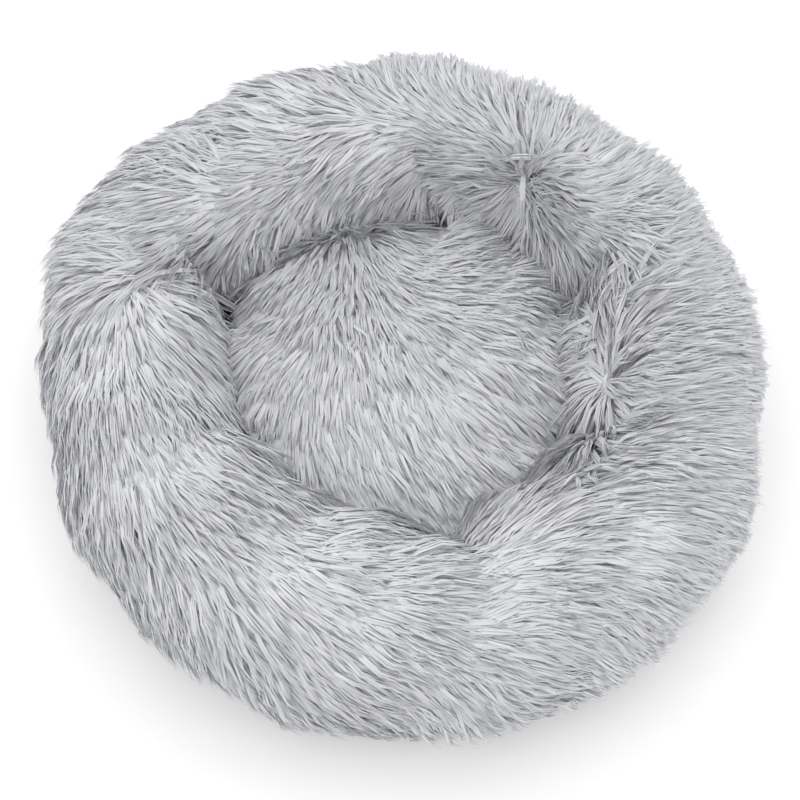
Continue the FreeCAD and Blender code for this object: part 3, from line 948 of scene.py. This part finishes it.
def cloth_material(name, dark, light, period, depth):
    material, tree, shader = new_material(name, 0.85)
    height = weave_height(tree, period)
    shader.inputs["Sheen Weight"].default_value = 0.2
    worn = mix_color(tree, noise_texture(tree, 30), dark, light)
    # The low places between the threads are painted darker. This is painted shade, laid over the cloth's own
    # random tone.
    thread_gap_painted_shade = tuple(0.75 * part for part in dark)
    paint(tree, shader, height, thread_gap_painted_shade, worn)
    bump(tree, shader, height, depth)
    return material


def twill_material(name, dark, light, period, depth, roughness=0.8):
    material, tree, shader = new_material(name, roughness)
    ribs = math_node(tree, "ADD", wave_texture(tree, "DIAGONAL", period), noise_texture(tree, 900))
    # The colour follows the relief that the bump uses, so the grooves between the ribs get painted shade; the
    # noise adds a random tone.
    paint(tree, shader, math_node(tree, "MULTIPLY", ribs, 0.5), dark, light)
    bump(tree, shader, ribs, depth)
    return material


def metal_material():
    material, tree, shader = new_material("zip_metal_brushed", 0.35, (0.62, 0.63, 0.65))
    shader.inputs["Metallic"].default_value = 1.0
    scuffs = noise_texture(tree, 700, 4.0)
    paint(tree, shader, scuffs, (0.50, 0.51, 0.53), (0.70, 0.71, 0.73))
    dullness = math_node(tree, "ADD", math_node(tree, "MULTIPLY", scuffs, 0.25), 0.22)
    feed(tree, shader.inputs["Roughness"], dullness)
    bump(tree, shader, noise_texture(tree, 2600), 0.00003)
    return material


def soft_solid_material(name, dark, light, scale, roughness, depth):
    material, tree, shader = new_material(name, roughness)
    grain = noise_texture(tree, scale)
    paint(tree, shader, grain, dark, light)
    bump(tree, shader, grain, depth)
    return material


# ---------------- building


def declare(obj, material, nodes):
    obj.data.materials.clear()
    obj.data.materials.append(material)
    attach(obj, BODY)
    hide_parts(*nodes)


def skin_tree(obj):
    points = mesh_values(obj)
    faces = [tuple(face.vertices) for face in obj.data.polygons]
    return BVHTree.FromPolygons([tuple(p) for p in points], faces)


def build_fur(obj, keep, comb_rule, trees, random):
    """The strands of one skin: their points, their tones and the roots of their locks."""
    roots, upright = scatter(obj, LOCK_SPACING, keep, random)
    comb = comb_rule(roots, upright, random)
    length = LOCK_LENGTH * np.clip(1 + LENGTH_NOISE * random.normal(size=len(roots)), 0.6, 1.35)
    lift = np.clip(1 + LIFT_NOISE * random.normal(size=len(roots)), 0.4, 1.7)
    lines = lock_lines(roots, upright, comb, length, lift, trees, random)
    tone = np.clip(LOCK_TONE + LOCK_TONE_NOISE * random.normal(size=len(roots)), 0.05, 0.95)
    shape, shade = strand_shapes(lines, upright, tone, random)
    return shape, shade, roots


def split_pieces(name, shape, shade, order, material, nodes):
    """Strands in pieces small enough to export whole, cut in the given order."""
    rank = np.argsort(order, kind="stable")
    pieces = int(np.ceil(len(shape) * STRAND_TRIANGLES / TRIANGLE_LIMIT))
    for number, part in enumerate(np.array_split(rank, pieces), start=1):
        piece = strand_mesh(f"{name}_{number:02d}", shape[part], shade[part])
        declare(piece, material, nodes=nodes)


def build_cases(ring, cushion):
    """Backing cloth, inner cases and stuffing, each inside the last."""
    backing = backing_material()
    liner = cloth_material("liner_weave", (0.70, 0.70, 0.69), (0.80, 0.80, 0.79), 0.0006, 0.00008)
    fibre = soft_solid_material("fibre_wadding", (0.80, 0.80, 0.80), (0.92, 0.92, 0.92), 90, 0.95, 0.001)
    covers = []
    for side in ("front", "back"):
        covers.append(cover_half(ring, f"ring_backing_{side}", is_back=side == "back"))
        declare(covers[-1], backing, nodes=(f"ring_cover_{side}",))
    declare(cushion, backing, nodes=("cushion_cover",))
    for part, skin, outside, fill in (("ring", ring, covers, 0.8), ("cushion", cushion, [cushion], 0.5)):
        case = inner_copy(skin, f"{part}_liner_case", LINER_DEPTH)
        stuffing = inner_copy(skin, f"{part}_stuffing", STUFFING_DEPTH)
        declare(case, liner, nodes=(f"{part}_liner",))
        declare(stuffing, fibre, nodes=(f"{part}_fill",))


def build_base():
    """The flat underside: cloth in two halves, grip dots and a blank label."""
    oxford = cloth_material("base_oxford", (0.24, 0.245, 0.255), (0.33, 0.335, 0.345), 0.0009, 0.00012)
    for name, node in (("base_cloth_front", "base_panel_front"), ("base_cloth_back", "base_panel_back")):
        panel = cloth_plate(name, panel_grid(node), BASE_THICKNESS)
        declare(panel, oxford, nodes=(node,))
    silicone = soft_solid_material("grip_silicone", (0.055, 0.056, 0.060), (0.085, 0.086, 0.090),
                                   160, 0.45, 0.00003)
    declare(dome_dots("grip_domes"), silicone, nodes=("grip_dots",))
    low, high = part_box("care_label")
    satin = twill_material("label_satin", (0.76, 0.76, 0.74), (0.88, 0.88, 0.86), 0.0005, 0.00003, 0.5)
    label = cloth_plate("label_blank", strip_grid(low, high, LABEL_STEPS, LABEL_WAVES), high.z - low.z)
    declare(label, satin, nodes=("care_label",))


def build_zip():
    tape = twill_material("zip_tape_twill", (0.20, 0.205, 0.215), (0.34, 0.345, 0.355), 0.0008, 0.0001)
    nylon = soft_solid_material("zip_coil_nylon", (0.26, 0.265, 0.275), (0.36, 0.365, 0.375),
                                500, 0.38, 0.00002)
    for side in ("front", "back"):
        low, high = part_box(f"zip_tape_{side}")
        rows = strip_grid(low, high, TAPE_STEPS, TAPE_WAVES)
        strip = cloth_plate(f"zip_twill_{side}", rows, high.z - low.z)
        declare(strip, tape, nodes=(f"zip_tape_{side}",))
        wound = coil(f"zip_wound_coil_{side}", f"zip_coil_{side}")
        declare(wound, nylon, nodes=(f"zip_coil_{side}",))
    metal = metal_material()
    for node in ("zip_slider", "zip_pull", "zip_top_stops", "zip_bottom_stop"):
        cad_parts[node].data.materials[0] = metal


def build_stitches(ring, tree):
    """Every line of sewing, as single stitches where the frame has one smooth thread."""
    thread = twill_material("thread_twist", (0.48, 0.485, 0.50), (0.66, 0.665, 0.68), 0.0006, 0.00008, 0.7)
    radius = thread_radius("zip_thread")

    def sew(name, node, lines):
        piece = tubes(name, lines, radius, STITCH_SWELL)
        declare(piece, thread, nodes=(node,))

    seam_radius = 0.5 * sum(node_radii("base_seam_thread"))
    sew("base_seam_stitches", "base_seam_thread",
        stitch_lines(circle_path(seam_radius, middle_height("base_seam_thread")), True, (0, 0, 0.0005)))
    slot_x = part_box("zip_tape_front")[1].x
    height = middle_height("base_split_thread")
    edge = BASE_RADIUS - 2 * radius
    sides = [stitch_lines([(sign * slot_x, 0, height), (sign * edge, 0, height)], False, (0, 0, 0.0004))
             for sign in (-1, 1)]
    sew("base_split_stitches", "base_split_thread", np.concatenate(sides))
    rows = []
    height = middle_height("zip_thread")
    sewn_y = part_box("zip_thread")[1].y - radius
    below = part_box("base_panel_front")[0].z - 0.0001
    for y in (-sewn_y, sewn_y):
        for level, dip in ((height, -0.0003), (below, 0.0004)):
            rows.append(stitch_lines([(-slot_x, y, level), (slot_x, y, level)], False, (0, 0, dip)))
    sew("zip_stitches", "zip_thread", np.concatenate(rows))
    around = np.linspace(0, 2 * pi, 360, endpoint=False)
    reach = crease_radius(around) - 0.5 * CUSHION_SIDE_GAP
    path = polar(reach, around, middle_height("inner_seam_thread"))
    sew("inner_seam_stitches", "inner_seam_thread", stitch_lines(path, True, (0, 0, -0.0004)))
    loops = mesh_values(ring).reshape(RING_AROUND, -1, 3)
    seams = []
    for seam in SEAMS:
        loop = loops[int(round(seam / (2 * pi) * RING_AROUND))]
        middle = polar(RING_RADIUS, seam, CENTRE_HEIGHT)
        loop = loop + SEAM_LIFT * unit(loop - middle)
        seams.append(stitch_lines(loop[loop[:, 2] > BASE_TOP + 0.002], False, (0, 0, -0.0003)))
    sew("ring_seam_stitches", "ring_seam_thread", np.concatenate(seams))
    sew("pinch_bar_tacks", "pinch_tacks", tack_lines(tree))


def build_pile(ring, cushion, trees, random):
    fur = fur_material()

    def ring_keep(roots, upright):
        around, _, over = ring_place(roots)
        above_crease = (over > 0.5) | (roots[:, 2] > CREASE_SKIN_HEIGHT - CREASE_PILE_DEPTH)
        above_base = (roots[:, 2] > BASE_TOP + FOOT_PILE_HEIGHT) & (upright[:, 2] > UNDERSIDE)
        return above_crease & above_base

    def cushion_keep(roots, upright):
        return roots[:, 2] > CREASE_SKIN_HEIGHT - CUSHION_PILE_DEPTH

    shape, shade, roots = build_fur(ring, ring_keep, ring_comb, trees, random)
    lock = np.repeat(np.arange(len(roots)), STRANDS_PER_LOCK)
    around = np.arctan2(roots[:, 1], roots[:, 0])[lock]
    back = (around > SEAMS[0]) & (around < SEAMS[1])
    order = np.where(around < SEAMS[0], around + 2 * pi, around)
    split_pieces("ring_fur_front", shape[~back], shade[~back], order[~back], fur, ("ring_cover_front",))
    split_pieces("ring_fur_back", shape[back], shade[back], order[back], fur, ("ring_cover_back",))
    shape, shade, _ = build_fur(cushion, cushion_keep, cushion_comb, trees, random)
    split_pieces("cushion_fur", shape, shade, shape[:, 0, 0], fur, ("cushion_cover",))


def build_bed():
    random = np.random.default_rng(SEED)
    ring, ring_held = ring_skin()
    cushion, cushion_held = cushion_skin()
    inflate(ring, ring_held, RING_SWELL)
    inflate(cushion, cushion_held, CUSHION_SWELL)
    trees = (skin_tree(ring), skin_tree(cushion))
    build_cases(ring, cushion)
    build_base()
    build_zip()
    build_stitches(ring, trees[0])
    build_pile(ring, cushion, trees, random)
    bpy.data.objects.remove(ring)


# ---------------- camera, floor and light

CAMERA_ELEVATION = 65.0
CAMERA_DISTANCE = 1.30
CAMERA_TARGET = (0.003, 0.0, 0.042)
LENS = 69.0
LIGHTS = (  # name, place, metres wide, watts
    ("key", (0.7, 1.5, 2.8), 3.0, 9), ("fill", (-1.8, -1.2, 2.4), 2.4, 4))
FLOOR_SIZE = 30.0
SKY_HORIZON = 0.94  # light from the horizon
SKY_RISE = 0.42  # and how much more from overhead


def build_camera():
    data = bpy.data.cameras.new("camera")
    data.lens = LENS
    camera = bpy.data.objects.new("camera", data)
    bpy.context.scene.collection.objects.link(camera)
    rise = radians(CAMERA_ELEVATION)
    back = Vector((0, -cos(rise), sin(rise)))
    camera.location = Vector(CAMERA_TARGET) + back * CAMERA_DISTANCE
    camera.rotation_euler = (-back).to_track_quat("-Z", "Y").to_euler()
    bpy.context.scene.camera = camera


def build_floor():
    half = FLOOR_SIZE / 2
    floor = mesh_object("floor", [(-half, -half, 0), (half, -half, 0), (half, half, 0), (-half, half, 0)],
                        [(0, 1, 2, 3)])
    material, _, _ = new_material("floor", 0.8, (0.93, 0.93, 0.93))
    floor.data.materials.append(material)


def area_light(name, place, size, power):
    """A round soft light that looks at the middle of the floor under the bed."""
    data = bpy.data.lights.new(name, "AREA")
    data.shape = "DISK"
    data.size = size
    data.energy = power
    light = bpy.data.objects.new(name, data)
    bpy.context.scene.collection.objects.link(light)
    light.location = place
    light.rotation_euler = (-Vector(place)).to_track_quat("-Z", "Y").to_euler()


def build_sky():
    """Soft light from all round that is brighter overhead than at the horizon."""
    world = bpy.data.worlds.new("studio")
    world.use_nodes = True
    tree = world.node_tree
    coords = tree.nodes.new("ShaderNodeTexCoord")
    split = tree.nodes.new("ShaderNodeSeparateXYZ")
    tree.links.new(coords.outputs["Generated"], split.inputs[0])
    rise = math_node(tree, "MULTIPLY", math_node(tree, "MAXIMUM", split.outputs[2], 0.0), SKY_RISE)
    background = tree.nodes["Background"]
    background.inputs[0].default_value = (1, 1, 1, 1)
    tree.links.new(math_node(tree, "ADD", rise, SKY_HORIZON), background.inputs[1])
    bpy.context.scene.world = world


def build_light():
    build_sky()
    for light in LIGHTS:
        area_light(*light)
    bpy.context.scene.view_settings.view_transform = "Standard"


build_bed()
build_camera()
build_floor()
build_light()
